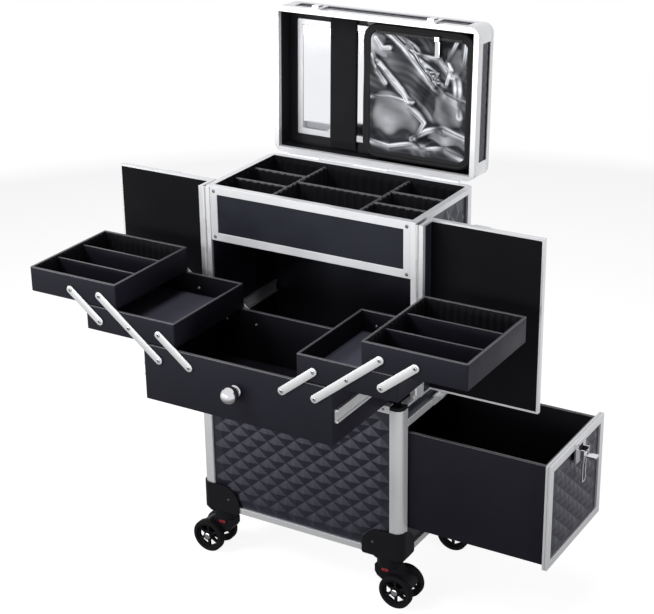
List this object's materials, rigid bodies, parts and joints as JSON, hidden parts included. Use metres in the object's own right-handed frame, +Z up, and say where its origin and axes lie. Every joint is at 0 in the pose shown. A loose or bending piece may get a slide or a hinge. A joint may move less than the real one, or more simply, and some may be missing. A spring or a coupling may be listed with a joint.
{
  "type": "makeup train case",
  "caption": "Wheeled makeup train case with hinged lid, side-hung doors, a drawer with cantilever trays, a deep side drawer, swivel casters and a pull-up handle.",
  "frame": {"origin": "on the floor, under the middle of the lower box", "axes": "+Z up, +X to the case's right where the deep drawer opens, -Y to its front"},
  "size_m": [0.7866, 0.4685, 0.8383],
  "materials": {
    "board": "matte",
    "embossed": "satin",
    "aluminium": "satin",
    "steel": "satin",
    "chrome": "polished",
    "black_plastic": "satin",
    "tyre": "matte",
    "mirror_frame": "gloss",
    "mirror": "polished",
    "strap": "woven",
    "bag": "gloss"
  },
  "bodies": {
    "case": {"base_and_deck": "board", "lower_front_panel": "embossed", "side_panels": "embossed", "rear_panel": "embossed", "top_box_liner": "board", "upper_front_panel": "board", "upper_front_frame": "aluminium", "top_rim": "aluminium", "posts": "aluminium", "corner_caps": "black_plastic", "edge_rails": "aluminium", "corner_brackets": "black_plastic", "top_box_dividers": "board", "cabinet_rails": "steel", "handle_sleeves": "black_plastic", "hinge_leaves": "steel"},
    "lid": {"lid_shell": "embossed", "lid_frame": "aluminium", "lid_lining": "board", "mirror_frame": "mirror_frame", "mirror_glass": "mirror", "mirror_strap": "strap", "zip_bag": "bag"},
    "zip_pull": {"zip_pull": "chrome"},
    "left_lid_latch": {"left_lid_latch": "chrome"},
    "right_lid_latch": {"right_lid_latch": "chrome"},
    "left_door": {"left_door_panel": "embossed", "left_door_frame": "aluminium"},
    "right_door": {"right_door_panel": "embossed", "right_door_frame": "aluminium"},
    "drawer": {"drawer_box": "board", "drawer_knob": "chrome", "drawer_rails": "steel"},
    "drawer_slides": {"drawer_mid_rails": "steel"},
    "side_drawer": {"side_drawer_box": "board", "side_drawer_front": "embossed", "side_drawer_frame": "aluminium", "side_drawer_runners": "black_plastic", "drawer_latch": "chrome"},
    "latch_hasp": {"latch_hasp": "chrome"},
    "handle": {"telescopic_handle": "chrome"},
    "left_long_arms": {"left_long_arms": "steel"},
    "left_drawer_links": {"left_drawer_links": "steel"},
    "left_tray_links": {"left_tray_links": "steel"},
    "left_lower_tray": {"left_lower_tray": "board"},
    "left_upper_tray": {"left_upper_tray": "board"},
    "right_long_arms": {"right_long_arms": "steel"},
    "right_drawer_links": {"right_drawer_links": "steel"},
    "right_tray_links": {"right_tray_links": "steel"},
    "right_lower_tray": {"right_lower_tray": "board"},
    "right_upper_tray": {"right_upper_tray": "board"},
    "front_left_caster": {"front_left_caster": "black_plastic"},
    "front_left_wheels": {"front_left_wheels": "tyre"},
    "front_right_caster": {"front_right_caster": "black_plastic"},
    "front_right_wheels": {"front_right_wheels": "tyre"},
    "rear_left_caster": {"rear_left_caster": "black_plastic"},
    "rear_left_wheels": {"rear_left_wheels": "tyre"},
    "rear_right_caster": {"rear_right_caster": "black_plastic"},
    "rear_right_wheels": {"rear_right_wheels": "tyre"}
  },
  "joints": [
    {"name": "lid_hinge", "type": "hinge", "parent": "case", "child": "lid", "pos_m": [0, 0.1145, 0.6005], "axis": [1, 0, 0], "range_deg": [0, 92]},
    {"name": "right_door_hinge", "type": "hinge", "parent": "case", "child": "right_door", "pos_m": [0.1785, -0.07425, 0.4675], "axis": [0, 0, 1], "range_deg": [-12, 4]},
    {"name": "left_door_hinge", "type": "hinge", "parent": "case", "child": "left_door", "pos_m": [-0.1785, -0.07425, 0.4675], "axis": [0, 0, -1], "range_deg": [-12, 4]},
    {"name": "drawer_slide", "type": "slide", "parent": "case", "child": "drawer", "axis": [0, 1, 0], "range_m": [0, 0.01]},
    {"name": "drawer_mid_slide", "type": "slide", "parent": "case", "child": "drawer_slides", "axis": [0, 1, 0], "range_m": [0, 0.005]},
    {"name": "left_tray_fold", "type": "hinge", "parent": "drawer", "child": "left_long_arms", "pos_m": [-0.129, -0.182, 0.404], "axis": [0, 1, 0], "range_deg": [0, 103.3]},
    {"name": "left_drawer_link_pivot", "type": "hinge", "parent": "drawer", "child": "left_drawer_links", "pos_m": [-0.077, -0.182, 0.404], "axis": [0, 1, 0], "range_deg": [0, 103.3]},
    {"name": "left_lower_tray_pivot", "type": "hinge", "parent": "left_long_arms", "child": "left_lower_tray", "pos_m": [-0.179, -0.182, 0.4435], "axis": [0, 1, 0], "range_deg": [-103.3, 0]},
    {"name": "left_upper_tray_pivot", "type": "hinge", "parent": "left_long_arms", "child": "left_upper_tray", "pos_m": [-0.229, -0.182, 0.483], "axis": [0, 1, 0], "range_deg": [-103.3, 0]},
    {"name": "left_tray_link_pivot", "type": "hinge", "parent": "left_lower_tray", "child": "left_tray_links", "pos_m": [-0.231, -0.182, 0.4435], "axis": [0, 1, 0], "range_deg": [0, 103.3]},
    {"name": "right_tray_fold", "type": "hinge", "parent": "drawer", "child": "right_long_arms", "pos_m": [0.129, -0.182, 0.404], "axis": [0, -1, 0], "range_deg": [0, 103.3]},
    {"name": "right_drawer_link_pivot", "type": "hinge", "parent": "drawer", "child": "right_drawer_links", "pos_m": [0.077, -0.182, 0.404], "axis": [0, -1, 0], "range_deg": [0, 103.3]},
    {"name": "right_lower_tray_pivot", "type": "hinge", "parent": "right_long_arms", "child": "right_lower_tray", "pos_m": [0.179, -0.182, 0.4435], "axis": [0, -1, 0], "range_deg": [-103.3, 0]},
    {"name": "right_upper_tray_pivot", "type": "hinge", "parent": "right_long_arms", "child": "right_upper_tray", "pos_m": [0.229, -0.182, 0.483], "axis": [0, -1, 0], "range_deg": [-103.3, 0]},
    {"name": "right_tray_link_pivot", "type": "hinge", "parent": "right_lower_tray", "child": "right_tray_links", "pos_m": [0.231, -0.182, 0.4435], "axis": [0, -1, 0], "range_deg": [0, 103.3]},
    {"name": "side_drawer_slide", "type": "slide", "parent": "case", "child": "side_drawer", "axis": [1, 0, 0], "range_m": [-0.218, 0]},
    {"name": "hasp_hinge", "type": "hinge", "parent": "side_drawer", "child": "latch_hasp", "pos_m": [0.4104, 0.003, 0.266], "axis": [0, -1, 0], "range_deg": [0, 80]},
    {"name": "left_lid_latch_hinge", "type": "hinge", "parent": "lid", "child": "left_lid_latch", "pos_m": [-0.097, 0.14458, 0.83139], "axis": [-1, 0, 0], "range_deg": [0, 70]},
    {"name": "right_lid_latch_hinge", "type": "hinge", "parent": "lid", "child": "right_lid_latch", "pos_m": [0.097, 0.14458, 0.83139], "axis": [-1, 0, 0], "range_deg": [0, 70]},
    {"name": "zip_slide", "type": "slide", "parent": "lid", "child": "zip_pull", "axis": [1, 0, 0], "range_m": [-0.06, 0.025]},
    {"name": "handle_slide", "type": "slide", "parent": "case", "child": "handle", "axis": [0, 0, 1], "range_m": [0, 0.045]},
    {"name": "front_left_swivel", "type": "hinge", "parent": "case", "child": "front_left_caster", "pos_m": [-0.147, -0.096, 0.06], "axis": [0, 0, 1], "continuous": true},
    {"name": "front_left_wheel_spin", "type": "hinge", "parent": "front_left_caster", "child": "front_left_wheels", "pos_m": [-0.169, -0.096, 0.027], "axis": [0, 1, 0], "continuous": true},
    {"name": "front_right_swivel", "type": "hinge", "parent": "case", "child": "front_right_caster", "pos_m": [0.147, -0.096, 0.06], "axis": [0, 0, 1], "continuous": true},
    {"name": "front_right_wheel_spin", "type": "hinge", "parent": "front_right_caster", "child": "front_right_wheels", "pos_m": [0.169, -0.096, 0.027], "axis": [0, 1, 0], "continuous": true},
    {"name": "rear_left_swivel", "type": "hinge", "parent": "case", "child": "rear_left_caster", "pos_m": [-0.147, 0.096, 0.06], "axis": [0, 0, 1], "continuous": true},
    {"name": "rear_left_wheel_spin", "type": "hinge", "parent": "rear_left_caster", "child": "rear_left_wheels", "pos_m": [-0.169, 0.096, 0.027], "axis": [0, 1, 0], "continuous": true},
    {"name": "rear_right_swivel", "type": "hinge", "parent": "case", "child": "rear_right_caster", "pos_m": [0.147, 0.096, 0.06], "axis": [0, 0, 1], "continuous": true},
    {"name": "rear_right_wheel_spin", "type": "hinge", "parent": "rear_right_caster", "child": "rear_right_wheels", "pos_m": [0.169, 0.096, 0.027], "axis": [0, 1, 0], "continuous": true}
  ],
  "couplings": [
    {"joint": "drawer_mid_slide", "follows": "drawer_slide", "ratio": 0.5},
    {"joint": "left_drawer_link_pivot", "follows": "left_tray_fold", "ratio": 1},
    {"joint": "left_lower_tray_pivot", "follows": "left_tray_fold", "ratio": -1},
    {"joint": "left_upper_tray_pivot", "follows": "left_tray_fold", "ratio": -1},
    {"joint": "left_tray_link_pivot", "follows": "left_tray_fold", "ratio": 1},
    {"joint": "right_drawer_link_pivot", "follows": "right_tray_fold", "ratio": 1},
    {"joint": "right_lower_tray_pivot", "follows": "right_tray_fold", "ratio": -1},
    {"joint": "right_upper_tray_pivot", "follows": "right_tray_fold", "ratio": -1},
    {"joint": "right_tray_link_pivot", "follows": "right_tray_fold", "ratio": 1}
  ]
}
